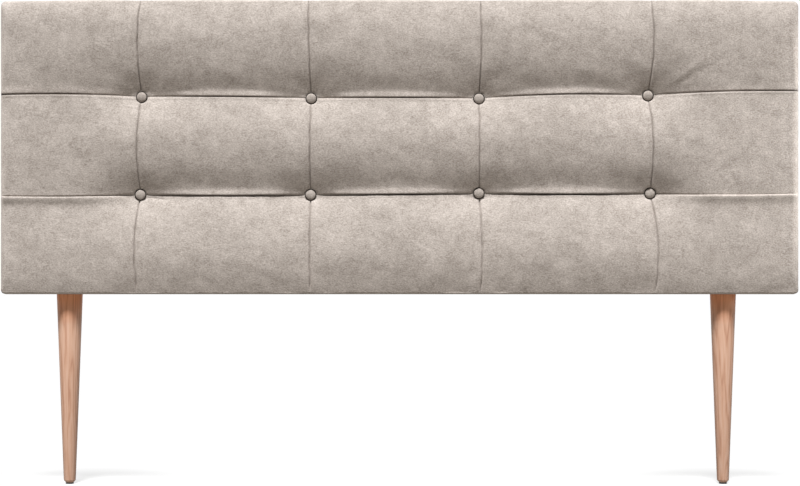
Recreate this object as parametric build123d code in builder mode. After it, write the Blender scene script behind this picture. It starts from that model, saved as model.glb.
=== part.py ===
# Tufted headboard: a velvet pad buttoned to a timber frame that stands on two tapered legs.
# Millimetres. X runs across the headboard, -Y is its front and Z is up. The origin is on the
# floor, in the middle of the headboard's width and depth.
import os
from math import radians, tan

from build123d import *

os.makedirs("parts", exist_ok=True)

# Driving sizes of the whole headboard
panel_width = 1600
panel_height = 588
leg_height = 384  # from the floor to the underside of the panel, glide and all
leg_inset = 138.9  # from the side of the panel to the leg's axis
leg_offset = -6.7  # both legs stand this far to the left of even

# Layers of the panel, from its front to its back
cover_thickness = 1.6  # velvet with its lining
fabric_gap = 0.3  # ease of the cover round what it holds
foam_thickness = 30
foam_under_button = 5  # what is left of the foam where a button is pulled in
board_thickness = 5
rail_depth = 40
cloth_thickness = 0.8
hanger_thickness = 1.5
hanger_screw_head_height = 1.6

# Outline of the panel
corner_radius = 10  # seen from the front
front_round = 20  # where the pad rolls over its front edge
edge_ease = 3  # on the frame's back edges
crown_margin = 0.8  # the rolled edge's tangent stands this far ahead of the crown

# Tufting: two rows of buttons
top_row_height = 192.5  # from the top of the panel to the upper row of buttons
bottom_row_height = 201.3  # from the bottom of the panel to the lower row of buttons
column_count = 4
button_pitch = 340.4
tufting_offset = -9.3  # the middle of the buttons, from the middle of the panel
button_diameter = 20.3
well_radius = 11  # flat seat of a button in the pad
well_flare = 45  # degrees between a well's wall and the button's axis
well_folds = 10  # gathered folds round a button

# One overrun for every cut that goes right through, and the usual fits of small pieces
overrun = 2
sliding_gap = 0.1

# Planes that the layers share
skin = cover_thickness + fabric_gap
panel_depth = 2 * cover_thickness + fabric_gap + foam_thickness + board_thickness + rail_depth
total_depth = panel_depth + cloth_thickness + hanger_thickness + hanger_screw_head_height
y_front = -total_depth / 2
y_board = y_front + skin + foam_thickness
y_frame = y_board + board_thickness
y_rail_back = y_frame + rail_depth
y_cover_back = y_rail_back + cover_thickness
y_hanger = y_cover_back + cloth_thickness
y_rail_middle = (y_frame + y_rail_back) / 2
z_bottom = leg_height
z_top = leg_height + panel_height
z_middle = (z_bottom + z_top) / 2
z_upper_buttons = z_top - top_row_height
z_lower_buttons = z_bottom + bottom_row_height
tuft_depth = foam_thickness - foam_under_button

# Where each button was pulled in by hand, off the even grid, as shares of its diameter
upper_shift_shares = ((0.07, 0.03), (0.09, -0.10), (-0.07, -0.12), (-0.11, 0.18))
lower_shift_shares = ((-0.06, -0.07), (0.03, -0.07), (-0.08, 0.08), (0.10, 0.06))
first_column = tufting_offset - (column_count - 1) / 2 * button_pitch
columns = [first_column + count * button_pitch for count in range(column_count)]
button_places = {}
for row, z_row, shift_shares in (
    ("upper", z_upper_buttons, upper_shift_shares),
    ("lower", z_lower_buttons, lower_shift_shares),
):
    for number, (x_column, (x_share, z_share)) in enumerate(zip(columns, shift_shares), 1):
        place = (x_column + x_share * button_diameter, z_row + z_share * button_diameter)
        button_places[f"{row}_{number}"] = place

# Form of the tufted pad. Each row of cells is followed from its top to its bottom, and the
# depths below the crown are shares of the tufting's depth: in the middle of a cell, on the
# sewn seam between two cells, and at the sides of the panel, where nothing pulls the pad in.
height_shares = (0, 0.15, 0.5, 0.85, 1)
side_depth_share = 0.03
row_forms = (
    {
        "top": z_top + overrun,
        "bottom": z_upper_buttons,
        "crown_shares": (0.18, 0.05, 0.01, 0.31, 0.55),
        "seam_shares": (0.28, 0.20, 0.20, 0.70, 0.92),
        "bow_shares": (0.6, 0.95, 1, 0.4, 0),
        "seam_lean_shares": (-0.025, -0.016, 0.012, 0.031),
    },
    {
        "top": z_upper_buttons,
        "bottom": z_lower_buttons,
        "crown_shares": (0.55, 0.27, 0.01, 0.27, 0.55),
        "seam_shares": (0.92, 0.66, 0.18, 0.66, 0.92),
        "bow_shares": (0, 0.5, 1, 0.6, 0),
        "seam_lean_shares": (-0.027, -0.008, 0.004, 0.025),
    },
    {
        "top": z_lower_buttons,
        "bottom": z_bottom - overrun,
        "crown_shares": (0.55, 0.31, 0.01, 0.05, 0.20),
        "seam_shares": (0.92, 0.70, 0.20, 0.20, 0.30),
        "bow_shares": (0, 0.5, 1, 0.95, 0.6),
        "seam_lean_shares": (-0.036, -0.009, 0.020, 0.042),
    },
)


def cell_line(inset, crown_share, seam_share, bow_share, seam_lean_shares):
    """Front line of the pad at one height: its stations at sides and seams, and its crowns."""
    y_zero = y_front + inset
    half = panel_width / 2 + overrun
    stations = [(-half, y_zero + side_depth_share * tuft_depth)]
    for x_column, lean_share in zip(columns, seam_lean_shares):
        x_seam = x_column + bow_share * lean_share * button_pitch
        stations.append((x_seam, y_zero + seam_share * tuft_depth))
    stations.append((half, y_zero + side_depth_share * tuft_depth))
    y_crown = y_zero + crown_share * tuft_depth
    crowns = [((a[0] + b[0]) / 2, y_crown) for a, b in zip(stations, stations[1:])]
    return stations, crowns


def tufted_block(inset):
    """The whole padded shape, this far under the outside of the cover, buttons' wells and all."""
    front = y_front + inset - crown_margin
    back = y_cover_back - inset
    depth = back - front
    width = panel_width - 2 * inset
    height = panel_height - 2 * inset
    back_round = edge_ease + cover_thickness - inset
    with BuildPart() as block:
        for form in row_forms:
            for height_share, *shares in zip(
                height_shares, form["crown_shares"], form["seam_shares"], form["bow_shares"]
            ):
                z = form["top"] + (form["bottom"] - form["top"]) * height_share
                stations, crowns = cell_line(inset, *shares, form["seam_lean_shares"])
                left, right = stations[0], stations[-1]
                with BuildSketch(Plane.XY.offset(z)):
                    with BuildLine():
                        for start, crown, end in zip(stations, crowns, stations[1:]):
                            ThreePointArc(start, crown, end)
                        Polyline(right, (right[0], back + overrun), (left[0], back + overrun), left)
                    make_face()
            loft(ruled=True)
        # Outline seen from the front
        with BuildSketch(Plane.XZ):
            with Locations((0, z_middle)):
                RectangleRounded(width, height, corner_radius - inset)
        extrude(amount=total_depth, both=True, mode=Mode.INTERSECT)
        # Rolled top and bottom edges
        with BuildSketch(Plane.YZ):
            with Locations(((front + back) / 2, z_middle)):
                profile = Rectangle(depth, height)
            fillet(profile.vertices().group_by(Axis.X)[0], front_round - inset)
            fillet(profile.vertices().group_by(Axis.X)[-1], back_round)
        extrude(amount=panel_width, both=True, mode=Mode.INTERSECT)
        # Rolled side edges
        with BuildSketch(Plane.XY):
            with Locations((0, (front + back) / 2)):
                profile = Rectangle(width, depth)
            fillet(profile.vertices().group_by(Axis.Y)[0], front_round - inset)
            fillet(profile.vertices().group_by(Axis.Y)[-1], back_round)
        extrude(amount=z_top + overrun, mode=Mode.INTERSECT)
        # Wells that the buttons are pulled into, their walls gathered into flat folds
        seat_radius = well_radius + inset * tan(radians(90 - well_flare) / 2)
        with BuildSketch(Plane.XZ.offset(-(y_front + inset + tuft_depth))):
            with Locations(*button_places.values()):
                RegularPolygon(seat_radius, well_folds, major_radius=False)
        extrude(amount=tuft_depth + crown_margin + overrun, taper=-well_flare, mode=Mode.SUBTRACT)
    return block.part


# Timber frame: two long rails, stiles between them at the ends and midway between the columns of
# buttons, so that the straps behind the board stay free
rail_height = 45
stile_width = 45
frame_width = panel_width - 2 * skin
frame_height = panel_height - 2 * skin
frame_corner = corner_radius - skin
z_low_rail_top = z_bottom + skin + rail_height
z_top_rail_bottom = z_top - skin - rail_height
outer_stile_x = (frame_width - stile_width) / 2
inner_stile_x = [(a + b) / 2 for a, b in zip(columns, columns[1:])]
stile_places = [-outer_stile_x, *inner_stile_x, outer_stile_x]

# Staples across each joint of the frame, one in its front and one in its back, driven flush
staple_crown = 24
staple_leg = 18
staple_wire = 1.6
staple_places = [
    Location((x, y, z), turn)
    for x in stile_places
    for z in (z_low_rail_top, z_top_rail_bottom)
    for y, turn in ((y_frame, (0, 0, 0)), (y_rail_back, (0, 0, 180)))
]

# Legs and the hanger bolts that hold them
leg_top_radius = 26
leg_back_inset = 4  # from the back of the panel to the leg
bolt_radius = 4
bolt_ease = 0.5  # of the bolt in the rail and the cover
tee_nut_length = 11
tee_nut_radius = 5
y_leg = y_front + panel_depth - leg_back_inset - leg_top_radius
leg_reach = panel_width / 2 - leg_inset
leg_places = {"left": leg_offset - leg_reach, "right": leg_offset + leg_reach}


def staple(ease):
    """Staple with its crown flush with the plane Y = 0 and its legs along +Y, and this much ease."""
    outer = staple_crown / 2 + ease
    inner = staple_crown / 2 - staple_wire - ease
    with BuildPart() as wire:
        with BuildSketch(Plane.YZ):
            with BuildLine():
                Polyline(
                    (0, -outer),
                    (staple_leg + ease, -outer),
                    (staple_leg + ease, -inner),
                    (staple_wire + ease, -inner),
                    (staple_wire + ease, inner),
                    (staple_leg + ease, inner),
                    (staple_leg + ease, outer),
                    (0, outer),
                    close=True,
                )
            make_face()
        extrude(amount=staple_wire / 2 + ease, both=True)
    return wire.part


staple_slot = staple(sliding_gap)
for side, z_outer, z_inner in (
    ("top", z_top - skin, z_top_rail_bottom),
    ("bottom", z_bottom + skin, z_low_rail_top),
):
    with BuildPart() as rail:
        with BuildSketch(Plane.XZ.offset(-y_frame)):
            with Locations((0, (z_outer + z_inner) / 2)):
                outline = Rectangle(frame_width, rail_height)
            outer_corners = outline.vertices().group_by(Axis.Y)[-1 if side == "top" else 0]
            fillet(outer_corners, frame_corner)
        extrude(amount=-rail_depth)
        back_edges = rail.faces().sort_by(Axis.Y)[-1].edges().sort_by(Axis.Z)
        chamfer(back_edges[1:] if side == "top" else back_edges[:-1], edge_ease)
        with Locations(*staple_places):
            add(staple_slot, mode=Mode.SUBTRACT)
        if side == "bottom":
            with Locations(*[(x, y_leg, z_inner) for x in leg_places.values()]):
                CounterBoreHole(
                    bolt_radius + bolt_ease, tee_nut_radius + sliding_gap, tee_nut_length + sliding_gap
                )
    rail.part.label = f"frame_{side}_rail"
    export_step(rail.part, f"parts/frame_{side}_rail.step")

# Keyhole hangers over the first and last inner stiles, screwed on through the dust cloth
hanger_width = 28
hanger_height = 60
hanger_corner = 6
hanger_lap = 4  # of a hanger over the cloth round its opening
key_entry_radius = 5
key_slot_radius = 2.5
key_travel = 12  # from the middle of the entry up to the middle of the slot's end
pocket_margin = 3  # room round the keyhole for the head of the wall's screw
pocket_width = 2 * (key_entry_radius + pocket_margin)
pocket_depth = 8
z_hanger = z_top_rail_bottom - staple_crown - hanger_height / 2
z_entry = z_hanger - key_travel / 2
hanger_places = {"left": inner_stile_x[0], "right": inner_stile_x[-1]}
hanger_screw_length = 16  # under its head
hanger_screw_radius = 1.75
hanger_screw_head_radius = 3.2
hanger_screw_spacing = 46

stile_names = ["left_stile", "inner_stile_1", "inner_stile_2", "inner_stile_3", "right_stile"]
z_stile_middle = (z_low_rail_top + z_top_rail_bottom) / 2
stile_length = z_top_rail_bottom - z_low_rail_top
for name, x_stile in zip(stile_names, stile_places):
    with BuildPart() as stile:
        with BuildSketch(Plane.XY.offset(z_low_rail_top)):
            with Locations((x_stile, y_rail_middle)):
                Rectangle(stile_width, rail_depth)
        extrude(amount=stile_length)
        if x_stile in (stile_places[0], stile_places[-1]):
            back_edges = stile.edges().filter_by(Axis.Z).group_by(Axis.Y)[-1].sort_by(Axis.X)
            chamfer(back_edges[0 if x_stile < 0 else -1], edge_ease)
        with Locations(*staple_places):
            add(staple_slot, mode=Mode.SUBTRACT)
        if x_stile in hanger_places.values():
            # Pocket for the head of the wall's screw, and pilots for the hanger's own two
            with BuildSketch(Plane.XZ.offset(-y_rail_back)):
                with Locations((x_stile, z_hanger)):
                    SlotCenterToCenter(key_travel, pocket_width, rotation=90)
            extrude(amount=pocket_depth, mode=Mode.SUBTRACT)
            with BuildSketch(Plane.XZ.offset(-y_rail_back)):
                with Locations((x_stile, z_hanger)):
                    with GridLocations(0, hanger_screw_spacing, 1, 2):
                        Circle(hanger_screw_radius + sliding_gap)
            extrude(amount=hanger_screw_length, mode=Mode.SUBTRACT)
    stile.part.label = f"frame_{name}"
    export_step(stile.part, f"parts/frame_{name}.step")

frame_staple = staple(0)
with BuildPart() as frame_staples:
    with Locations(*staple_places):
        add(frame_staple)
frame_staples.part.label = "frame_staples"
export_step(frame_staples.part, "parts/frame_staples.step")

# Nylon straps that tie the buttons to the board, and the slits they go through
strap_width = 5.2
strap_thickness = 1.4
strap_tail = 6  # what is left of a strap behind its lock
slit_gap = 0.3
lock_width = 10
lock_length = 26
lock_thickness = 3
y_button = y_front + tuft_depth
y_strap_end = y_frame + lock_thickness + strap_tail


def straps(gap, reach):
    """The eight straps, this much wider all round and reaching this much past both ends."""
    with BuildPart() as bands:
        with BuildSketch(Plane.XZ.offset(-(y_button - reach))):
            with Locations(*button_places.values()):
                Rectangle(strap_thickness + 2 * gap, strap_width + 2 * gap)
        extrude(amount=y_button - y_strap_end - 2 * reach)
    return bands.part


strap_slits = straps(slit_gap, overrun)

# Plywood board over the front of the frame
with BuildPart() as front_board:
    with BuildSketch(Plane.XZ.offset(-y_board)):
        with Locations((0, z_middle)):
            RectangleRounded(frame_width, frame_height, frame_corner)
    extrude(amount=-board_thickness)
    add(strap_slits, mode=Mode.SUBTRACT)
front_board.part.label = "front_board"
export_step(front_board.part, "parts/front_board.step")

# Foam pad, flat on the board and drawn in under the cover's seams and buttons
with BuildPart() as foam_pad:
    add(tufted_block(skin))
    split(bisect_by=Plane.XZ.offset(-y_board), keep=Keep.TOP)
    add(strap_slits, mode=Mode.SUBTRACT)
foam_pad.part.label = "foam_pad"
export_step(foam_pad.part, "parts/foam_pad.step")

# Velvet cover, sewn from cells and drawn over the pad, turned in on the back of the frame
return_width = 32  # how far the cover reaches in over the back of the frame
return_corner = 20
with BuildPart() as velvet_cover:
    add(tufted_block(0))
    add(tufted_block(cover_thickness), mode=Mode.SUBTRACT)
    add(strap_slits, mode=Mode.SUBTRACT)
    # Open back inside the turned-in edge
    with BuildSketch(Plane.XZ.offset(-y_rail_back)):
        with Locations((0, z_middle)):
            RectangleRounded(
                panel_width - 2 * return_width, panel_height - 2 * return_width, return_corner
            )
    extrude(amount=-cover_thickness - overrun, mode=Mode.SUBTRACT)
    # Holes in the underside for the legs' bolts
    with BuildSketch(Plane.XY.offset(z_bottom - overrun)):
        with Locations(*[(x, y_leg) for x in leg_places.values()]):
            Circle(bolt_radius + bolt_ease)
    extrude(amount=cover_thickness + 2 * overrun, mode=Mode.SUBTRACT)
velvet_cover.part.label = "velvet_cover"
export_step(velvet_cover.part, "parts/velvet_cover.step")

# Covered buttons: domed caps that sit in the wells, four in a row
cap_height = 6.5
cap_rim_height = 3.5
cap_radius = button_diameter / 2
with BuildPart() as button:
    with BuildSketch(Plane.XY):
        with BuildLine():
            front = (0, y_button - cap_height)
            shoulder = (cap_radius, y_button - cap_rim_height)
            TangentArc(front, shoulder, tangent=(1, 0))
            Polyline(shoulder, (cap_radius, y_button), (0, y_button), front)
        make_face()
    revolve(axis=Axis.Y)
for row in ("upper", "lower"):
    row_places = [(x, 0, z) for name, (x, z) in button_places.items() if name.startswith(row)]
    with BuildPart() as buttons:
        with Locations(*row_places):
            add(button.part)
    buttons.part.label = f"buttons_{row}"
    export_step(buttons.part, f"parts/buttons_{row}.step")

# Straps from the backs of the buttons to the room behind the board
with BuildPart() as button_straps:
    add(straps(0, 0))
button_straps.part.label = "button_straps"
export_step(button_straps.part, "parts/button_straps.step")

# Locks pushed onto the straps, which hold the buttons in against the foam
with BuildPart() as strap_locks:
    with BuildSketch(Plane.XZ.offset(-y_frame)):
        with Locations(*button_places.values()):
            Rectangle(lock_length, lock_width)
    extrude(amount=-lock_thickness)
    chamfer(strap_locks.faces().group_by(Axis.Y)[-1].edges(), lock_thickness / 2)
    add(straps(sliding_gap, overrun), mode=Mode.SUBTRACT)
strap_locks.part.label = "strap_locks"
export_step(strap_locks.part, "parts/strap_locks.step")

# Black dust cloth stapled over the open back, cut open under the hangers
cloth_inset = 14
cloth_corner = 8
with BuildPart() as back_cloth:
    with BuildSketch(Plane.XZ.offset(-y_cover_back)):
        with Locations((0, z_middle)):
            RectangleRounded(
                panel_width - 2 * cloth_inset, panel_height - 2 * cloth_inset, cloth_corner
            )
        with Locations(*[(x, z_hanger) for x in hanger_places.values()]):
            Rectangle(
                hanger_width - 2 * hanger_lap, hanger_height - 2 * hanger_lap, mode=Mode.SUBTRACT
            )
    extrude(amount=-cloth_thickness)
back_cloth.part.label = "back_cloth"
export_step(back_cloth.part, "parts/back_cloth.step")


# Keyhole hangers over the pockets, by which the headboard hooks onto two screws in the wall
hanger_centres = [(x, z_hanger) for x in hanger_places.values()]
hanger_face = Plane((0, y_hanger + hanger_thickness, 0), x_dir=(1, 0, 0), z_dir=(0, 1, 0))
screw_centres = [
    (x, -z_hanger + side * hanger_screw_spacing / 2) for x in hanger_places.values() for side in (-1, 1)
]
with BuildPart() as wall_hangers:
    with BuildSketch(Plane.XZ.offset(-y_hanger)):
        with Locations(*hanger_centres):
            RectangleRounded(hanger_width, hanger_height, hanger_corner)
            SlotCenterToCenter(key_travel, 2 * key_slot_radius, rotation=90, mode=Mode.SUBTRACT)
        with Locations(*[(x, z_entry) for x in hanger_places.values()]):
            Circle(key_entry_radius, mode=Mode.SUBTRACT)
    extrude(amount=-hanger_thickness)
    with Locations(hanger_face):
        with Locations(*screw_centres):
            Hole(hanger_screw_radius + sliding_gap)
wall_hangers.part.label = "wall_hangers"
export_step(wall_hangers.part, "parts/wall_hangers.step")

with BuildPart() as hanger_screws:
    with BuildSketch(hanger_face):
        with Locations(*screw_centres):
            Circle(hanger_screw_head_radius)
    extrude(amount=hanger_screw_head_height)
    with BuildSketch(hanger_face):
        with Locations(*screw_centres):
            Circle(hanger_screw_radius)
    extrude(amount=-hanger_screw_length)
hanger_screws.part.label = "hanger_screws"
export_step(hanger_screws.part, "parts/hanger_screws.step")

# Turned legs, bored for the bolt above and the glide's nail below
leg_foot_radius = 12
foot_chamfer = 4
foot_chamfer_height = 4.5
glide_thickness = 3
glide_radius = 8
nail_radius = 1.2
nail_length = 14
bolt_in_leg = 34
flange_radius = 11
flange_thickness = 1.5
leg_centres = [(x, y_leg) for x in leg_places.values()]
leg_section = Plane((0, y_leg, 0), x_dir=(1, 0, 0), z_dir=(0, -1, 0))
leg_axis = Axis((0, y_leg, 0), (0, 0, 1))
with BuildPart() as turned_leg:
    with BuildSketch(leg_section):
        with BuildLine():
            Polyline(
                (0, glide_thickness),
                (leg_foot_radius - foot_chamfer, glide_thickness),
                (leg_foot_radius, glide_thickness + foot_chamfer_height),
                (leg_top_radius, z_bottom),
                (0, z_bottom),
                close=True,
            )
        make_face()
    revolve(axis=leg_axis)
    with Locations((0, y_leg, z_bottom)):
        Hole(bolt_radius + sliding_gap, depth=bolt_in_leg + overrun)
    with Locations(Location((0, y_leg, glide_thickness), (180, 0, 0))):
        Hole(nail_radius + sliding_gap, depth=nail_length + overrun)
with BuildPart() as legs:
    with Locations(*[(x_leg, 0, 0) for x_leg in leg_places.values()]):
        add(turned_leg.part)
legs.part.label = "legs"
export_step(legs.part, "parts/legs.step")

# Glides, each with its nail
with BuildPart() as foot_glides:
    with BuildSketch(Plane.XY):
        with Locations(*leg_centres):
            Circle(glide_radius)
    extrude(amount=glide_thickness)
    with BuildSketch(Plane.XY.offset(glide_thickness)):
        with Locations(*leg_centres):
            Circle(nail_radius)
    extrude(amount=nail_length)
foot_glides.part.label = "foot_glides"
export_step(foot_glides.part, "parts/foot_glides.step")

# Bolts from inside the legs to the top of the rail
with BuildPart() as leg_bolts:
    with BuildSketch(Plane.XY.offset(z_bottom - bolt_in_leg)):
        with Locations(*leg_centres):
            Circle(bolt_radius)
    extrude(amount=z_low_rail_top - z_bottom + bolt_in_leg)
leg_bolts.part.label = "leg_bolts"
export_step(leg_bolts.part, "parts/leg_bolts.step")

# Tee nuts, their flanges on the rail and their barrels in the rail's bores
with BuildPart() as tee_nuts:
    with BuildSketch(Plane.XY.offset(z_low_rail_top)):
        with Locations(*leg_centres):
            Circle(flange_radius)
    extrude(amount=flange_thickness)
    with BuildSketch(Plane.XY.offset(z_low_rail_top)):
        with Locations(*leg_centres):
            Circle(tee_nut_radius)
    extrude(amount=-tee_nut_length)
    with Locations(*[(x, y_leg, z_low_rail_top + flange_thickness) for x in leg_places.values()]):
        Hole(bolt_radius + sliding_gap)
tee_nuts.part.label = "tee_nuts"
export_step(tee_nuts.part, "parts/tee_nuts.step")
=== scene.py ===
import math

import bpy
import numpy as np
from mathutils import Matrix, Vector


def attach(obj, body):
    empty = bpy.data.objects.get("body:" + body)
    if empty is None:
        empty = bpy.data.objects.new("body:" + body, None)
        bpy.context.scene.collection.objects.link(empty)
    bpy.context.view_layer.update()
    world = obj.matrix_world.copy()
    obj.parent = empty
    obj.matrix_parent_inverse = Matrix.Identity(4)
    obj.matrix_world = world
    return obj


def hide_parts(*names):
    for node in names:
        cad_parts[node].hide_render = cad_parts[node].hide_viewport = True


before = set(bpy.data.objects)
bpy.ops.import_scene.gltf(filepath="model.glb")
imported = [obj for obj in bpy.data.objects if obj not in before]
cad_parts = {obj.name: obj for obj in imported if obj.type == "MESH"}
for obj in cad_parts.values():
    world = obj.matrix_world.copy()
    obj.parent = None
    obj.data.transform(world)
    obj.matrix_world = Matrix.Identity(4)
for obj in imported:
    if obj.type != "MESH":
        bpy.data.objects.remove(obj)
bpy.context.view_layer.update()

# Timber frame: two long rails with five stiles between them, sawn pine, glued and stapled.
# The grain runs along each piece, and each length was cut from another board.
rail_names = ["frame_top_rail", "frame_bottom_rail"]
stile_names = [
    "frame_left_stile", "frame_inner_stile_1", "frame_inner_stile_2", "frame_inner_stile_3", "frame_right_stile",
]
pine_tones = [(0.44, 0.26, 0.12, 1), (0.63, 0.44, 0.25, 1)]
grain_across = (0, 0, 0)
grain_upright = (0, math.radians(90), 0)


def joined(tree, kind, place=(0, 0), settings=(), **inputs):
    """Adds a node; an input is a plain value, or the output of another node."""
    made = tree.nodes.new(kind)
    made.location = place
    for name, value in dict(settings).items():
        setattr(made, name, value)
    for name, value in inputs.items():
        key = int(name[1:]) if name[0] == "n" and name[1:].isdigit() else name.replace("_", " ")
        socket = made.inputs[key]
        if isinstance(value, bpy.types.NodeSocket):
            tree.links.new(value, socket)
        else:
            socket.default_value = value
    return made


def worked(tree, operation, *values, place=(0, 0)):
    """Adds a step of arithmetic on numbers or outputs: its result."""
    numbered = {f"n{count}": value for count, value in enumerate(values)}
    return joined(tree, "ShaderNodeMath", place, {"operation": operation}, **numbered).outputs[0]


def noise(tree, spot, scale, place=(0, 0), **more):
    """Adds a cloudy random share, with about so many lumps to a metre."""
    return joined(tree, "ShaderNodeTexNoise", place, Vector=spot, Scale=scale, **more).outputs["Fac"]


def own_place(tree, place=(-1100, 0)):
    """Adds the place on the piece itself, in metres."""
    return joined(tree, "ShaderNodeTexCoord", place).outputs["Object"]


def toned(tree, share, tones, low=0.0, high=1.0):
    """Adds a colour that passes evenly from tone to tone as the share goes from low to high."""
    ramp = joined(tree, "ShaderNodeValToRGB", place=(-350, 100), Fac=share)
    stops = ramp.color_ramp.elements
    stops[0].position, stops[1].position = low, high
    for count in range(1, len(tones) - 1):
        stops.new(low + (high - low) * count / (len(tones) - 1))
    for stop, tone in zip(stops, tones):
        stop.color = tone
    return ramp.outputs["Color"]


def start_material(name):
    """Empty material with a shader wired to its output: the tree and the shader."""
    material = bpy.data.materials.new(name)
    material.use_nodes = True
    tree = material.node_tree
    tree.nodes.clear()
    shader = joined(tree, "ShaderNodeBsdfPrincipled", place=(600, 0))
    joined(tree, "ShaderNodeOutputMaterial", place=(900, 0), Surface=shader.outputs["BSDF"])
    return material, tree, shader


def finished(tree, shader, colour, rough, height, strength, deep):
    """Gives a surface its colour, its roughness and a fine relief so many metres deep."""
    tree.links.new(colour, shader.inputs["Base Color"])
    shader.inputs["Roughness"].default_value = rough
    relief = joined(tree, "ShaderNodeBump", place=(300, -250), Strength=strength, Distance=deep, Height=height)
    tree.links.new(relief.outputs["Normal"], shader.inputs["Normal"])


def effect_group(name, numbers, outputs):
    """Empty node group with named number inputs, a vector input and named outputs."""
    group = bpy.data.node_groups.new(name, "ShaderNodeTree")
    group.interface.new_socket(name="Vector", in_out="INPUT", socket_type="NodeSocketVector")
    for label, value in numbers.items():
        socket = group.interface.new_socket(name=label, in_out="INPUT", socket_type="NodeSocketFloat")
        socket.default_value = value
    for label in outputs:
        group.interface.new_socket(name=label, in_out="OUTPUT", socket_type="NodeSocketFloat")
    return group, group.nodes.new("NodeGroupInput"), group.nodes.new("NodeGroupOutput")


# Wood grain for every wooden piece: long fibres, growth bands and fine pores along X
grain, grain_in, grain_out = effect_group("wood_grain", {"Length": 14.0, "Bands": 42.0}, ["Figure", "Pores"])
fibre_stretch = joined(grain, "ShaderNodeMapping", Vector=grain_in.outputs["Vector"])
fibre_stretch.inputs["Scale"].default_value = (1, 14, 14)
pore_stretch = joined(grain, "ShaderNodeMapping", Vector=grain_in.outputs["Vector"])
pore_stretch.inputs["Scale"].default_value = (9, 420, 420)
slow = noise(grain, fibre_stretch.outputs["Vector"], 1.7, Detail=3.0, Roughness=0.5)
fibre = noise(grain, fibre_stretch.outputs["Vector"], grain_in.outputs["Length"], Detail=6.0, Roughness=0.65)
pore = noise(grain, pore_stretch.outputs["Vector"], 3.0, Detail=2.0)
ring = worked(grain, "PINGPONG", worked(grain, "MULTIPLY", slow, grain_in.outputs["Bands"]), 1.0)
figure = worked(grain, "MULTIPLY_ADD", fibre, 0.75, worked(grain, "MULTIPLY", ring, 0.45))
grain.links.new(figure, grain_out.inputs["Figure"])
grain.links.new(pore, grain_out.inputs["Pores"])


def grain_along(tree, shift, turn, length, bands):
    """Places the wood grain in a material, turned to run along the piece."""
    turned = joined(tree, "ShaderNodeMapping", place=(-900, 0), Vector=own_place(tree))
    turned.inputs["Location"].default_value = shift
    turned.inputs["Rotation"].default_value = turn
    return joined(
        tree, "ShaderNodeGroup", place=(-650, 0), settings={"node_tree": grain}, Vector=turned.outputs["Vector"],
        Length=length, Bands=bands,
    )


def sawn_pine(name, shift, turn):
    """Raw sawn pine: pale, with darker bands and a slightly furry surface."""
    material, tree, shader = start_material(name)
    placed = grain_along(tree, shift, turn, length=9.0, bands=34.0)
    colour = toned(tree, placed.outputs["Figure"], pine_tones, low=0.32, high=0.72)
    finished(tree, shader, colour, 0.82, placed.outputs["Pores"], strength=0.35, deep=0.0006)
    return material


def dress(name, material):
    """Gives one of the frame's own solids its material."""
    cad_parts[name].material_slots[0].material = material


for count, name in enumerate(rail_names):
    dress(name, sawn_pine(f"pine_rail_{count + 1}", (0.4 * count, 0.21, 0), grain_across))
for count, name in enumerate(stile_names):
    dress(name, sawn_pine(f"pine_stile_{count + 1}", (0.3 * count, 0.1, 0.2), grain_upright))


# Staples across the joints of the frame: bright zinc-plated wire, driven flush.
# Their finish, plated steel with fine rubbed marks, also serves the bolts, tee nuts and hangers.
def plated_steel(name, colour, rough, worn):
    """Zinc-plated steel: grey, with cloudy patches and fine rubbed marks."""
    material, tree, shader = start_material(name)
    spot = own_place(tree)
    cloud = noise(tree, spot, 90.0, place=(-650, 150), Detail=4.0)
    fine = noise(tree, spot, 900.0, place=(-650, -150), Detail=3.0)
    mottled = toned(tree, cloud, [tuple(share * part for part in colour) + (1,) for share in (0.78, 1)], 0.3, 0.7)
    finished(tree, shader, mottled, rough, fine, strength=0.15, deep=0.0002)
    spread = joined(tree, "ShaderNodeMapRange", place=(-350, -150), Value=fine, To_Min=rough, To_Max=rough + worn)
    tree.links.new(spread.outputs["Result"], shader.inputs["Roughness"])
    shader.inputs["Metallic"].default_value = 1.0
    return material


dress("frame_staples", plated_steel("staple_wire", (0.62, 0.62, 0.6), 0.3, 0.2))

# Tee nuts in the bottom rail and the bolts that tie the legs to them: plated steel as well,
# the bolts a shade yellower from their own bath.
dress("tee_nuts", plated_steel("tee_nut_steel", (0.56, 0.56, 0.55), 0.34, 0.22))
dress("leg_bolts", plated_steel("bolt_steel", (0.60, 0.58, 0.52), 0.3, 0.2))

# Front board: thin plywood stapled over the frame, sanded, its grain across the headboard.
# It carries the foam and takes the pull of the buttons.
plywood_tones = [(0.40, 0.25, 0.13, 1), (0.60, 0.43, 0.26, 1)]
plywood, tree, shader = start_material("plywood_face")
placed = grain_along(tree, (0.1, 0.3, 0), grain_across, length=6.0, bands=20.0)
colour = toned(tree, placed.outputs["Figure"], plywood_tones, low=0.3, high=0.75)
finished(tree, shader, colour, 0.7, placed.outputs["Pores"], strength=0.25, deep=0.0004)
dress("front_board", plywood)

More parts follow.
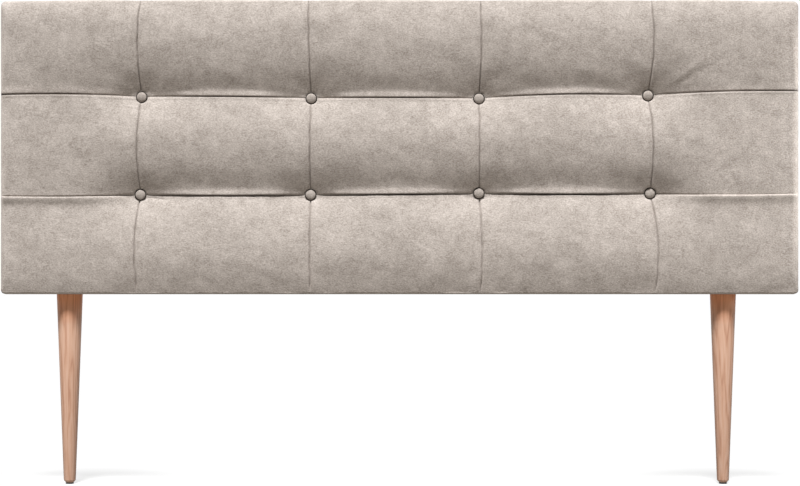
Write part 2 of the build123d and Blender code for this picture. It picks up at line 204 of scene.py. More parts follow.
# Foam pad: one slab of upholstery foam glued to the board, sewn through in cells and pulled in at
# eight places. It is made as a net over the front that follows the seams, swells between them as
# pressed foam does, and then gets its sides and its flat back.
panel_half = 0.8
panel_top = 0.972
panel_bottom = 0.384
panel_middle = (panel_top + panel_bottom) / 2
half_height = (panel_top - panel_bottom) / 2
front_plane = -0.0412  # the highest crowns
edge_round = 0.020  # where the pad rolls over its front edge
corner_round = 0.010  # seen from the front
tuft_depth = 0.025  # from the crowns back to the buttons' seats
cell_widths = [0.280, 0.3404, 0.3404, 0.3404, 0.2990]
row_heights = [0.1925, 0.1942, 0.2013]
mean_width, mean_height = 0.33, 0.195  # of a cell
button_spots = [
    [(-0.5185, 0.7801), (-0.1777, 0.7775), (0.1595, 0.7771), (0.4991, 0.7832)],
    [(-0.5211, 0.5839), (-0.1789, 0.5839), (0.1593, 0.5869), (0.5033, 0.5865)],
]
all_buttons = [*button_spots[0], *button_spots[1]]

# Upright seams: x at the top and at the foot of the panel, and how far each bows in each row
seam_tops = [-0.5196, -0.1825, 0.1620, 0.5049]
seam_feet = [-0.5256, -0.1793, 0.1626, 0.5129]
seam_bows = [
    (-0.0052, -0.0058, -0.0070), (-0.0012, -0.0014, -0.0008), (0.0028, 0.0006, 0.0040), (0.0064, 0.0060, 0.0086),
]

# Level seams: z at the panel's left and right side, and how far each rises in each cell
seam_sides = [(0.7842, 0.7918), (0.5815, 0.5865)]
seam_waves = [(0.0030, 0.0020, 0.0014, 0.0052, 0.0034), (-0.0012, -0.0020, -0.0010, -0.0018, -0.0024)]

# Depth of the pad along the two level seams, over the seam and under it, in millimetres: at the
# left side, then in the middle of each cell and at each button in turn, to the right side
over_seams = [
    (7.0, 13.0, 23.0, 15.5, 22.5, 15.0, 22.5, 15.0, 21.0, 8.0, 3.0),
    (1.5, 3.5, 19.5, 12.0, 19.5, 11.5, 19.5, 11.5, 17.5, 2.0, 1.0),
]
under_seams = [
    (2.0, 3.0, 19.0, 8.4, 19.0, 8.0, 19.0, 8.0, 18.5, 3.5, 1.5),
    (3.5, 8.0, 22.5, 12.0, 22.5, 11.5, 22.5, 12.0, 20.0, 1.5, 1.2),
]

# Where the fall to a seam starts, as a share of the row's height from its top. Over a seam it comes
# with the power of the fall, under a seam with what the middle of a cell adds to it.
falls_over = [(0.22, 2.3), (0.42, 2.0)]
falls_under = [(0.50, -0.14), (0.66, -0.02)]
cell_share = 0.8  # of the fall over a seam that is evened out in the middle of a cell
top_roll, top_roll_share = 0.0105, 0.30
foot_roll, foot_roll_share = 0.006, 0.33
pinch_depth, pinch_share = 0.0030, 0.42  # beside the upright seams
dimple_depth, dimple_radius = 0.0035, 0.060  # round the buttons


def gentle(share):
    """A share from 0 to 1 that starts and ends gently."""
    return share * share * (3 - 2 * share)


def risen(value, start, over):
    """0 up to the start, and from there evenly up to 1 over the given length."""
    return np.clip((value - start) / over, 0, 1)


def bell(distance, width, power=2):
    """1 on a line, falling smoothly to nothing over about twice the width on both sides."""
    return np.exp(-((np.abs(distance) / width) ** power))


def bowed(stops, bows, at):
    """A seam's place: straight from each numbered stop to the next, and bowed between them."""
    cell = np.clip(np.floor(at).astype(int), 0, len(bows) - 1)
    part = at - cell
    near, far = np.array(stops[:-1])[cell], np.array(stops[1:])[cell]
    return near + (far - near) * part + np.array(bows)[cell] * np.sin(np.pi * part)


def upright_seam(k, v):
    """x of upright seam k at height v: 0 at the top of the panel, 1 and 2 at the buttons, 3 below."""
    return bowed([seam_tops[k], button_spots[0][k][0], button_spots[1][k][0], seam_feet[k]], seam_bows[k], v)


def level_seam(m, u):
    """z of level seam m at place u along it: 0 at the left side, 1 to 4 at the buttons, 5 right."""
    return bowed([seam_sides[m][0], *[z for _, z in button_spots[m]], seam_sides[m][1]], seam_waves[m], u)


def between(lines, at):
    """Places between numbered lines, evenly from each line to the next."""
    cell = np.clip(np.floor(at).astype(int), 0, len(lines) - 2)[None]
    near, far = (np.take_along_axis(np.stack(lines), number, 0)[0] for number in (cell, cell + 1))
    return near + (far - near) * (at - cell[0])


def place_on_panel(u, v):
    """x and z of the net's crossings on the flat panel."""
    uprights = [np.full_like(v, -panel_half), *[upright_seam(k, v) for k in range(4)], np.full_like(v, panel_half)]
    levels = [np.full_like(u, panel_top), *[level_seam(m, u) for m in range(2)], np.full_like(u, panel_bottom)]
    return between(uprights, u), between(levels, v)


def net_lines(lengths, finest, widest, growth, ends):
    """Places of the net's lines along one way: close together at the seams, and at the rolled ends."""
    places = []
    for number, length in enumerate(lengths):
        first = ends if number == 0 else finest
        last = ends if number == len(lengths) - 1 else finest
        steps = np.linspace(0, length, 4001)
        pitch = np.minimum(np.minimum(first + growth * steps, last + growth * (length - steps)), widest)
        total = np.concatenate([[0], np.cumsum(np.diff(steps) / ((pitch[1:] + pitch[:-1]) / 2))])
        count = max(4, int(round(total[-1])))
        cuts = np.interp(np.linspace(0, total[-1], count + 1), total, steps) / length
        places.append(number + cuts[:-1])
    return np.concatenate([*places, [len(lengths)]])


def along_seam(depths, u):
    """Depth at place u of a seam, in metres, passing smoothly from one given place to the next."""
    step = np.clip(np.floor(2 * u).astype(int), 0, 9)
    part = (1 - np.cos(np.pi * (2 * u - step))) / 2
    depths = np.array(depths) / 1000
    return depths[step] + (depths[step + 1] - depths[step]) * part


def pad_depth(u, v, x, z):
    """How far the pad lies behind its highest crown, before it swells."""
    cell, row = np.clip(np.floor(u).astype(int), 0, 4), np.clip(np.floor(v).astype(int), 0, 2)
    down = v - row
    rounding = np.sin(np.pi * (u - cell)) * ((cell > 0) & (cell < 4))
    over, under = [], []
    for start, power in falls_over:
        fall = risen(down, start, 1 - start)
        over.append(fall ** power * (1 - cell_share * rounding) + gentle(fall) * cell_share * rounding)
    for start, change in falls_under:
        start = start + change * rounding
        under.append(np.clip((start - down) / start, 0, 1) ** (2 - 0.5 * rounding))
    at_top = np.clip((top_roll_share - down) / top_roll_share, 0, 1)
    at_foot = risen(down, 1 - foot_roll_share, foot_roll_share)
    top_row = along_seam(over_seams[0], u) * over[0] + top_roll * at_top ** 2.6
    middle_row = along_seam(over_seams[1], u) * over[1] + along_seam(under_seams[0], u) * under[0]
    foot_row = along_seam(under_seams[1], u) * under[1] + foot_roll * at_foot ** 2
    depth = np.select([row == 0, row == 1], [top_row, middle_row], foot_row)
    nearest = np.clip(np.rint(u), 1, 4)
    depth = depth + pinch_depth * np.clip(1 - np.abs(u - nearest) / pinch_share, 0, 1) ** 2
    for x_button, z_button in all_buttons:
        away = np.hypot((x - x_button) * 0.85, z - z_button)
        depth = depth + dimple_depth * np.clip(1 - away / dimple_radius, 0, 1) ** 1.5
    return np.clip(depth, 0, tuft_depth - 0.0002)


def rolled_edge(x, z):
    """Rounds the panel's corners, and says how far the front lies back over the rolled edge."""
    to_side = np.clip((edge_round - (panel_half - np.abs(x))) / edge_round, 0, 1)
    to_end = np.clip((edge_round - (half_height - np.abs(z - panel_middle))) / edge_round, 0, 1)
    more, less = np.maximum(to_side, to_end), np.minimum(to_side, to_end)
    slant = np.where(more > 0, less / np.maximum(more, 1e-9), 0)
    reach = np.where(slant > 0.5, ((1 + slant) + np.sqrt(np.maximum(2 * slant, 0))) / (2 * (1 + slant ** 2)), 1)
    shrink = (1 - reach) * more ** 2
    new_x = x - np.sign(x) * to_side * edge_round * shrink
    new_z = z - np.sign(z - panel_middle) * to_end * edge_round * shrink
    # The roll is fuller at the foot than at the sides, and slacker at the top
    power = 2.3 + np.where(z > panel_middle, -0.3, 0.7) * to_end / np.maximum(more, 1e-9)
    return new_x, new_z, edge_round * (1 - np.clip(1 - more ** power, 0, 1) ** (1 / power))


def make_net(name, points):
    """Grid mesh with its crossings at the given points, facing the front."""
    rows, columns = points.shape[:2]
    bpy.ops.object.select_all(action="DESELECT")
    bpy.ops.mesh.primitive_grid_add(x_subdivisions=columns - 1, y_subdivisions=rows - 1, size=1)
    net = bpy.context.object
    net.name = name
    order = np.zeros(len(net.data.vertices) * 3)
    net.data.vertices.foreach_get("co", order)
    order = order.reshape(-1, 3)
    column = np.rint((order[:, 0] + 0.5) * (columns - 1)).astype(int)
    row = np.rint((0.5 - order[:, 1]) * (rows - 1)).astype(int)
    net.data.vertices.foreach_set("co", points[row, column].ravel())
    net.data.update()
    return net, row, column


def swell(points, held):
    """Presses the net outwards as cloth, held along its seams, and gives back the moved points."""
    net, row, column = make_net("swelling_net", points)
    pins = net.vertex_groups.new(name="held")
    for index in np.nonzero(held[row, column] > 0)[0]:
        pins.add([int(index)], float(held[row[index], column[index]]), "REPLACE")
    press = net.modifiers.new("press", "CLOTH")
    for setting, value in {
        "quality": 4, "mass": 0.3, "tension_stiffness": 12, "compression_stiffness": 12, "shear_stiffness": 4,
        "bending_stiffness": 0.6, "use_pressure": True, "uniform_pressure_force": 3.0, "shrink_min": -0.015,
        "vertex_group_mass": "held",
    }.items():
        setattr(press.settings, setting, value)
    press.settings.effector_weights.gravity = 0
    press.collision_settings.use_collision = False
    for step in range(1, 21):
        bpy.context.scene.frame_set(step)
    settled = net.evaluated_get(bpy.context.evaluated_depsgraph_get())
    moved = np.zeros(len(net.data.vertices) * 3)
    settled.to_mesh().vertices.foreach_get("co", moved)
    settled.to_mesh_clear()
    bpy.context.scene.frame_set(1)
    swollen = points.copy()
    swollen[row, column] = moved.reshape(-1, 3)
    bpy.data.objects.remove(net)
    return swollen


pad_net = {"finest": 0.003, "widest": 0.0055, "growth": 0.25, "ends": 0.0009}
pad_u, pad_v = net_lines(cell_widths, **pad_net), net_lines(row_heights, **pad_net)
u_net, v_net = np.meshgrid(pad_u, pad_v)
x_net, z_net = place_on_panel(u_net, v_net)
x_net, z_net, roll = rolled_edge(x_net, z_net)
flat_net = np.stack([x_net, front_plane + np.maximum(pad_depth(u_net, v_net, x_net, z_net), roll), z_net], -1)

# The net is held along the seams, over the rolled edge and round the buttons, and pressed out
# between them by 9 mm at most. It swells less in the side cells, whose cloth is drawn flat over the
# edge, and close above the level seams in the middle of a cell, where the lips are.
upright_away = np.abs(u_net - np.rint(u_net)) * mean_width
level_away = np.abs(v_net - np.rint(v_net)) * mean_height
seam_hold, roll_hold, button_hold = 0.0012, 0.0025, 0.013
held = (np.minimum(upright_away, level_away) < seam_hold).astype(float)
held[roll > roll_hold] = 1
for x_button, z_button in all_buttons:
    held[np.hypot(x_net - x_button, z_net - z_button) < button_hold] = 1
most_swell = 0.009
calm_share = 0.055 / 0.193  # of a row's height, over its level seam
swelling = np.zeros_like(flat_net)
swelling = swell(flat_net, held) - flat_net
length = np.linalg.norm(swelling, axis=-1, keepdims=True)
swelling = swelling * most_swell * np.tanh(length / (1.3 * most_swell)) / np.maximum(length, 1e-9)
side_cell = np.clip(3.0 * np.maximum(1 - u_net, u_net - 4), 0, 1)
swelling = swelling * (1 - 0.75 * gentle(side_cell))[..., None]
over_seam = np.where(v_net < 2, np.clip((1 - (v_net - np.floor(v_net))) / calm_share, 0, 1), 1)
mid_cell = np.where((u_net > 1) & (u_net < 4), np.sin(np.pi * (u_net - np.floor(u_net))), 0)
swelling = swelling * (1 - mid_cell * (1 - gentle(over_seam)))[..., None]


def neighbours(values):
    """A net's values moved by one crossing from each of the four sides."""
    padded = np.pad(values, ((1, 1), (1, 1)) + ((0, 0),) * (values.ndim - 2), mode="edge")
    return padded[:-2, 1:-1], padded[2:, 1:-1], padded[1:-1, :-2], padded[1:-1, 2:]


for _ in range(14):
    upper, lower, left, right = neighbours(swelling)
    swelling = (4 * swelling + upper + lower + left + right) / 8

# The pad stays a little behind the cover everywhere, and more along the seams
foam_gap = 0.0024
foam_back = front_plane + 0.0319
foam_least = 0.003  # thick, where it is pressed most
foam_edge = 0.0020  # from the cover's sides
level_groove, upright_groove = 0.009, 0.0045
foam_net = flat_net + swelling
deepest = foam_net[..., 1]
for _ in range(2):
    deepest = np.maximum.reduce([deepest, *neighbours(deepest)])
foam_y = np.minimum(deepest + foam_gap, foam_back - foam_least)
level_near = bell(level_away, 0.006) * ((np.rint(v_net) > 0) & (np.rint(v_net) < 3))
upright_near = bell(upright_away, 0.005) * ((np.rint(u_net) > 0) & (np.rint(u_net) < 5))
foam_y += np.maximum(level_groove * level_near, upright_groove * upright_near)
foam_y = np.minimum(foam_y, foam_back - foam_least)
foam_points = np.stack([
    foam_net[..., 0] * (panel_half - foam_edge) / panel_half,
    foam_y,
    (foam_net[..., 2] - panel_middle) * (half_height - foam_edge) / half_height + panel_middle,
], -1)
foam_pad, _, _ = make_net("foam_pad_slab", foam_points)
bpy.ops.object.mode_set(mode="EDIT")
bpy.ops.mesh.select_all(action="DESELECT")
bpy.ops.mesh.select_non_manifold()
bpy.ops.mesh.extrude_region_move()
bpy.ops.object.mode_set(mode="OBJECT")
for vertex in foam_pad.data.vertices:
    if vertex.select:
        vertex.co.y = foam_back
bpy.ops.object.mode_set(mode="EDIT")
bpy.ops.mesh.edge_face_add()
bpy.ops.mesh.select_all(action="SELECT")
bpy.ops.mesh.normals_make_consistent(inside=False)
bpy.ops.object.mode_set(mode="OBJECT")
bpy.ops.object.shade_smooth()
foam_tones = [(0.72, 0.62, 0.38, 1), (0.80, 0.72, 0.50, 1)]
foam, tree, shader = start_material("open_cell_foam")
spot = own_place(tree)
cells = joined(tree, "ShaderNodeTexVoronoi", place=(-650, 0), Vector=spot, Scale=900.0)
colour = toned(tree, noise(tree, spot, 11.0, place=(-650, 250), Detail=3.0), foam_tones)
finished(tree, shader, colour, 0.95, cells.outputs["Distance"], strength=0.5, deep=0.0008)
foam_pad.data.materials.append(foam)
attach(foam_pad, "root")
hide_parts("foam_pad")

# Velvet cover: fifteen pieces of short-pile velvet sewn together along the seams, drawn over the
# pad, pulled in by the buttons and turned in over the back of the frame. Along the level seams the
# cloth above is tucked into a lip that hangs over the seam.
cover_thickness = 0.0016
cover_u = net_lines(cell_widths, finest=0.0009, widest=0.0048, growth=0.13, ends=0.0009)
cover_v = net_lines(row_heights, finest=0.0009, widest=0.0046, growth=0.10, ends=0.0009)


def finer(values, old, new, axis):
    """Values of a net read at finer places along one way, on smooth curves."""
    values = np.moveaxis(values, axis, 0)
    place = np.interp(new, old, np.arange(len(old)))
    at = np.clip(np.floor(place).astype(int), 0, len(old) - 2)
    part = (place - at).reshape((-1,) + (1,) * (values.ndim - 1))
    p0, p1 = values[np.clip(at - 1, 0, None)], values[at]
    p2, p3 = values[at + 1], values[np.clip(at + 2, None, len(old) - 1)]
    made = p1 + 0.5 * part * (p2 - p0 + part * (2 * p0 - 5 * p1 + 4 * p2 - p3 + part * (3 * (p1 - p2) + p3 - p0)))
    return np.moveaxis(made, 0, axis)


def wander(x, z, size, seed):
    """Smooth random height field, about -1 to 1, with lumps of the given size."""
    chance = np.random.default_rng(seed)
    total = np.zeros_like(x)
    for _ in range(14):
        angle, phase = chance.uniform(0, 2 * np.pi), chance.uniform(0, 2 * np.pi)
        wave = size * chance.uniform(0.7, 1.6)
        total += np.sin(2 * np.pi * (x * np.cos(angle) + z * np.sin(angle)) / wave + phase)
    return total / 5.3


u_cover, v_cover = np.meshgrid(cover_u, cover_v)
x_flat, z_flat = place_on_panel(u_cover, v_cover)
x_cover, z_cover, roll_cover = rolled_edge(x_flat, z_flat)
depth_cover = pad_depth(u_cover, v_cover, x_cover, z_cover)
cover_points = np.stack([x_cover, front_plane + np.maximum(depth_cover, roll_cover), z_cover], -1)
cover_points += finer(finer(swelling, pad_u, cover_u, 1), pad_v, cover_v, 0)

# Slack and small dents of the cloth
cover_points[..., 1] += 0.0005 * wander(x_cover, z_cover, 0.07, 3) * (roll_cover < 0.004)
cover_points[..., 1] += 0.00022 * wander(x_cover, z_cover, 0.022, 4) * (roll_cover < 0.004)

# Level seams: the lip over the seam, the stitched slit, and a small welt under it. In the two outer
# lower cells it is the other way up: the cloth below is turned up into a thick welt, and its upper
# edge catches the light. The lips and the slits die down towards the buttons.
lip_line = 0.0024  # over the seam
lip_turn = 0.0014  # over which the lip turns in to the seam
nearest = np.clip(np.rint(v_cover), 1, 2).astype(int)
above = z_flat - np.where(nearest == 1, level_seam(0, u_cover), level_seam(1, u_cover))
to_button = np.min([np.hypot(x_cover - x, z_cover - z) for x, z in all_buttons], 0)
outer_left, outer_right = (u_cover < 1), (u_cover > 4)
turned_up = (nearest == 2) & (outer_left | outer_right)
slit_share = risen(to_button, 0.020, 0.115) ** 1.2
lip_share = risen(to_button, 0.015, 0.085)
lip_width = np.where(outer_left, 0.0100, 0.0078) * (0.6 + 0.4 * slit_share)
lip_height = np.select(
    [outer_left & (nearest == 1), outer_left | (outer_right & (nearest == 2)), outer_right, nearest == 1],
    [0.0020, 0.0, 0.0007, 0.0029], 0.0023,
)
lip_height = lip_height * lip_share * (1 + 0.25 * wander(x_cover, z_cover, 0.05, 5))
lip = lip_height * bell(above - lip_line, np.where(above > lip_line, lip_width, lip_turn))
slit = np.where(turned_up, 0.0007, 0.0014 + 0.0056 * slit_share) * bell(above, 0.0013)
thick_welt = np.where(outer_left, 0.0050, 0.0036) * risen(to_button, 0, 0.09)
thick_welt = thick_welt * bell(above + 0.0032, np.where(above > -0.0032, 0.0021, 0.012))
welt = np.where(turned_up, thick_welt, 0.0006 * bell(above + 0.0042, 0.0022))
edge_fade = risen(panel_half - np.abs(x_cover), 0, 0.008)
cover_points[..., 1] += (slit - lip - welt) * edge_fade
cover_points[..., 2] -= 0.0014 * slit_share * bell(above - 0.0030, 0.0032) * edge_fade

# Upright seams: pinched, stitched through, slightly wavering, with a soft ridge on both sides
nearest = np.clip(np.rint(u_cover), 1, 4).astype(int)
seam_x = np.select([nearest == k + 1 for k in range(4)], [upright_seam(k, v_cover) for k in range(4)])
aside = x_flat - seam_x + 0.0006 * wander(x_cover * 0, z_cover, 0.03, 6)
rim_fade = np.clip((half_height - np.abs(z_cover - panel_middle)) / 0.020, 0.25, 1)
cover_points[..., 1] += 0.0045 * bell(aside, 0.0010, power=1.4) * rim_fade
cover_points[..., 1] -= 0.0007 * bell(np.abs(aside) - 0.0048, 0.0022) * rim_fade

# How much the velvet is darkened by painted shade, standing in for the shadow in the grooves: in the upright
# seams, and in the slits of the level seams
seam_shade = np.where(v_cover < 2, 0.50, 0.28) * bell(aside, 0.0008)
slit_shade = np.select([turned_up, outer_right], [0.05, 0.45], 0.15 + 0.80 * slit_share)
seam_shade = np.maximum(seam_shade, slit_shade * bell(above, 0.0025))

# Creases beside the lower left button and across the upper right cell, where the cloth is drawn
for (x_start, z_start), (x_end, z_end), dip, spread in (
    ((-0.5065, 0.5790), (-0.4663, 0.5722), 0.0016, 0.0018),
    ((0.5340, 0.7973), (0.6445, 0.8836), -0.0011, 0.0050),
    ((0.5480, 0.7990), (0.6700, 0.8700), 0.0009, 0.0050),
):
    run_x, run_z = x_end - x_start, z_end - z_start
    along = ((x_cover - x_start) * run_x + (z_cover - z_start) * run_z) / (run_x ** 2 + run_z ** 2)
    beside = np.hypot(x_cover - x_start - along * run_x, z_cover - z_start - along * run_z)
    cover_points[..., 1] += dip * bell(beside, spread) * np.clip(4 * along * (1 - along), 0, 1)

# The top edge puffs up a little between the upright seams
puff_height, puff_reach = 0.0031, 0.026
puff = risen(z_cover, panel_top - puff_reach, puff_reach) ** 2 * risen(panel_half - np.abs(x_cover), 0, 0.200)
cover_points[..., 2] += puff_height * puff * (0.6 + 0.4 * np.sin(np.pi * (u_cover - np.floor(u_cover))))

# Wells round the buttons, with the cloth gathered into small folds and pressed flat under each
seat_y = front_plane + tuft_depth
seat_radius, seat_ease = 0.0142, 0.0032
for number, (x_button, z_button) in enumerate(all_buttons):
    from_x, from_z = x_cover - x_button, z_cover - z_button
    away = np.hypot(from_x, from_z)
    turn = np.arctan2(from_z, from_x)
    chance = np.random.default_rng(20 + number)
    folds = sum(
        chance.uniform(0.4, 1.0) * np.sin(count * turn + chance.uniform(0, 6.28)) for count in (5, 7, 9, 12)
    )
    cover_points[..., 1] += 0.00015 * folds * bell(away - 0.018, 0.011)
    seat = gentle(np.clip((seat_radius - away) / seat_ease, 0, 1))
    cover_points[..., 1] = cover_points[..., 1] * (1 - seat) + seat_y * seat

velvet_cover, cover_row, cover_column = make_net("velvet_cover_sewn", cover_points)
# The painted seam shade goes onto the net as a mesh attribute, which the velvet's colour reads
seam_shade_layer = velvet_cover.data.attributes.new("painted_seam_shade", "FLOAT", "POINT")
seam_shade_layer.data.foreach_set("value", seam_shade[cover_row, cover_column])

# Sides and turned-in border, ring by ring: how far in from the panel's outline, and how far back
border_width = 0.032
border_corner = 0.020
rim_rings = [
    (0.0, -0.012), (0.0, -0.002), (0.0, 0.010), (0.0, 0.022), (0.0, 0.0327), (0.0006, 0.0349), (0.0022, 0.0366),
    (0.0046, 0.0373), (0.011, 0.0373), (0.018, 0.0373), (0.025, 0.0373), (border_width, 0.0373),
]
outline = []
for inset, ring_y in rim_rings:
    bpy.ops.object.mode_set(mode="EDIT")
    bpy.ops.mesh.select_mode(type="VERT")
    bpy.ops.mesh.select_all(action="DESELECT")
    bpy.ops.mesh.select_non_manifold()
    bpy.ops.mesh.extrude_region_move()
    bpy.ops.object.mode_set(mode="OBJECT")
    picked = [vertex for vertex in velvet_cover.data.vertices if vertex.select]
    if not outline:
        outline = [(vertex.co.x, vertex.co.z - panel_middle) for vertex in picked]
    for vertex, (x, z) in zip(picked, outline):
        if abs(x) > panel_half - corner_round and abs(z) > half_height - corner_round:
            turn = math.atan2(abs(z) - half_height + corner_round, abs(x) - panel_half + corner_round)
            inner_x = math.copysign(panel_half - border_width - border_corner * (1 - math.cos(turn)), x)
            inner_z = math.copysign(half_height - border_width - border_corner * (1 - math.sin(turn)), z)
        elif half_height - abs(z) < panel_half - abs(x):
            inner_x = x * (panel_half - border_width - border_corner) / (panel_half - corner_round)
            inner_z = math.copysign(half_height - border_width, z)
        else:
            inner_x = math.copysign(panel_half - border_width, x)
            inner_z = z * (half_height - border_width - border_corner) / (half_height - corner_round)
        share = inset / border_width
        vertex.co = (x + (inner_x - x) * share, ring_y, panel_middle + z + (inner_z - z) * share)
bpy.ops.object.shade_smooth()
wall = velvet_cover.modifiers.new("cloth", "SOLIDIFY")
wall.thickness = cover_thickness
wall.offset = -1
bpy.ops.object.modifier_apply(modifier="cloth")

# Velvet: short pile that lies in patches, with streaks across and a fine speckle of single tufts
patch_scale, streak_scale, speckle_scale = 34.0, 150.0, 520.0
nap_scales = {"Patch": patch_scale, "Streak": streak_scale, "Speckle": speckle_scale}
nap, nap_in, nap_out = effect_group("velvet_nap", nap_scales, ["Shade", "Pile"])
wide = joined(nap, "ShaderNodeMapping", Vector=nap_in.outputs["Vector"])
wide.inputs["Scale"].default_value = (0.55, 1, 1)
patch = noise(nap, nap_in.outputs["Vector"], nap_in.outputs["Patch"], Detail=2.0, Roughness=0.55, Distortion=0.4)
streak = noise(nap, wide.outputs["Vector"], nap_in.outputs["Streak"], Detail=2.5, Roughness=0.6)
speckle = noise(nap, wide.outputs["Vector"], nap_in.outputs["Speckle"], Detail=2.5, Roughness=0.75)
shade = worked(nap, "MULTIPLY_ADD", streak, 0.3, worked(nap, "MULTIPLY", patch, 0.42))
shade = worked(nap, "MULTIPLY_ADD", speckle, 1.42, shade)
nap.links.new(shade, nap_out.inputs["Shade"])
nap.links.new(speckle, nap_out.inputs["Pile"])


def mixed(tree, share, first, second, blend="MIX", place=(0, 0)):
    """Adds a mix of two colours: the mixed colour."""
    settings = {"data_type": "RGBA", "blend_type": blend}
    return joined(tree, "ShaderNodeMix", place, settings, n0=share, n6=first, n7=second).outputs[2]


def velvet(name, dark, light, streaks):
    """Short-pile velvet, mottled between a dark and a light tone, with painted shade where the mesh marks the
    seams and slits.
    """
    material, tree, shader = start_material(name)
    placed = joined(
        tree, "ShaderNodeGroup", place=(-850, 0), settings={"node_tree": nap}, Vector=own_place(tree),
        Patch=patch_scale, Streak=streaks, Speckle=speckle_scale,
    )
    spread = joined(
        tree, "ShaderNodeMapRange", place=(-600, 100), Value=placed.outputs["Shade"], From_Min=0.74, From_Max=1.40
    )
    pile = toned(tree, spread.outputs["Result"], [dark, light])
    painted_seam_shade = joined(tree, "ShaderNodeAttribute", place=(-350, 350), settings={"attribute_name": "painted_seam_shade"})
    # Painted shade: the colour is multiplied towards near-black along the seams and slits, as marked on the mesh
    colour = mixed(
        tree, painted_seam_shade.outputs["Fac"], pile, (0.15, 0.13, 0.115, 1), blend="MULTIPLY", place=(0, 150)
    )
    finished(tree, shader, colour, 0.9, placed.outputs["Shade"], strength=0.4, deep=0.0010)
    shader.inputs["Specular IOR Level"].default_value = 0.15
    shader.inputs["Sheen Weight"].default_value = 0.12
    shader.inputs["Sheen Roughness"].default_value = 0.45
    shader.inputs["Sheen Tint"].default_value = (0.9, 0.86, 0.82, 1)
    return material


velvet_cover.data.materials.append(
    velvet("taupe_velvet", (0.262, 0.226, 0.198, 1), (0.585, 0.529, 0.489, 1), streaks=streak_scale)
)
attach(velvet_cover, "root")
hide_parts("velvet_cover")

# Covered buttons: metal shells covered in the same velvet, each drawn tight over a domed face,
# with a ring of near-black velvet under its rim as painted shade for the gap round it. Eight of them, pulled in
# against the pad.
button_radius = 0.0100
button_dome = 0.36  # height of the dome as a share of its radius
button_face = seat_y - 0.0056
rim_cut = 0.0028  # behind the middle of the ball that the dome is made from
shade_ring_radius, shade_ring_thickness = 0.0104, 0.0013
button_streaks = 210.0
button_velvet = velvet("button_velvet", (0.27, 0.235, 0.21, 1), (0.50, 0.45, 0.41, 1), button_streaks)
# The ring's velvet is near-black all round: painted shade for the gap between button and well
painted_ring_shade_velvet = velvet("painted_ring_shade_velvet", (0.020, 0.016, 0.013, 1), (0.048, 0.039, 0.032, 1), button_streaks)
bpy.ops.object.select_all(action="DESELECT")
bpy.ops.mesh.primitive_uv_sphere_add(
    segments=40, ring_count=24, radius=button_radius, rotation=(math.radians(90), 0, 0)
)
bpy.ops.object.transform_apply(location=False, rotation=True, scale=False)
button = bpy.context.object
bpy.ops.object.mode_set(mode="EDIT")
bpy.ops.mesh.select_all(action="SELECT")
bpy.ops.mesh.bisect(plane_co=(0, rim_cut, 0), plane_no=(0, 1, 0), use_fill=True, clear_outer=True)
bpy.ops.mesh.select_all(action="SELECT")
bpy.ops.transform.resize(value=(1, button_dome, 1))
bpy.ops.object.mode_set(mode="OBJECT")
for vertex in button.data.vertices:
    away = math.hypot(vertex.co.x, vertex.co.z) / button_radius
    turn = math.atan2(vertex.co.z, vertex.co.x)
    vertex.co.y += 0.00016 * math.sin(17 * turn) * max(0, away - 0.75) * 4
lowest = min(vertex.co.y for vertex in button.data.vertices)
for vertex in button.data.vertices:
    vertex.co.y += button_face - lowest
bpy.ops.object.shade_smooth()
bpy.ops.object.select_all(action="DESELECT")
# A thin ring of cloth under the rim, carrying that painted shade
bpy.ops.mesh.primitive_torus_add(
    major_segments=40, minor_segments=8, major_radius=shade_ring_radius, minor_radius=shade_ring_thickness,
    rotation=(math.radians(90), 0, 0), location=(0, seat_y - 0.0016, 0),
)
bpy.ops.object.transform_apply(location=True, rotation=True, scale=False)
bpy.ops.object.shade_smooth()
shade_ring = bpy.context.object
shade_ring.data.materials.append(painted_ring_shade_velvet)
button.data.materials.append(button_velvet)
bpy.ops.object.select_all(action="DESELECT")
shade_ring.select_set(True)
button.select_set(True)
bpy.context.view_layer.objects.active = button
bpy.ops.object.join()
for row_name, spots in zip(("upper", "lower"), button_spots):
    row_of_buttons = []
    for x_button, z_button in spots:
        copy = button.copy()
        copy.data = button.data.copy()
        bpy.context.collection.objects.link(copy)
        for vertex in copy.data.vertices:
            vertex.co.x += x_button
            vertex.co.z += z_button
        row_of_buttons.append(copy)
    bpy.ops.object.select_all(action="DESELECT")
    for copy in row_of_buttons:
        copy.select_set(True)
    bpy.context.view_layer.objects.active = row_of_buttons[0]
    bpy.ops.object.join()
    joined_row = bpy.context.object
    joined_row.name = f"covered_buttons_{row_name}"
    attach(joined_row, "root")
    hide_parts(f"buttons_{row_name}")
bpy.data.objects.remove(button)


# Straps from the buttons through foam and board, and the locks pushed onto them behind the board:
# white nylon, moulded, slightly uneven and scuffed.
def moulded_plastic(name, colour, rough):
    """Moulded plastic: even colour with faint flow marks and a fine satin texture."""
    material, tree, shader = start_material(name)
    spot = own_place(tree)
    flow = noise(tree, spot, 60.0, place=(-650, 150), Detail=3.0)
    texture = noise(tree, spot, 2200.0, place=(-650, -150))
    mottled = toned(tree, flow, [tuple(share * part for part in colour) + (1,) for share in (0.82, 1)])
    finished(tree, shader, mottled, rough, texture, strength=0.2, deep=0.0002)
    return material


white_nylon = moulded_plastic("white_nylon", (0.80, 0.79, 0.75), 0.42)
dress("button_straps", white_nylon)
dress("strap_locks", white_nylon)

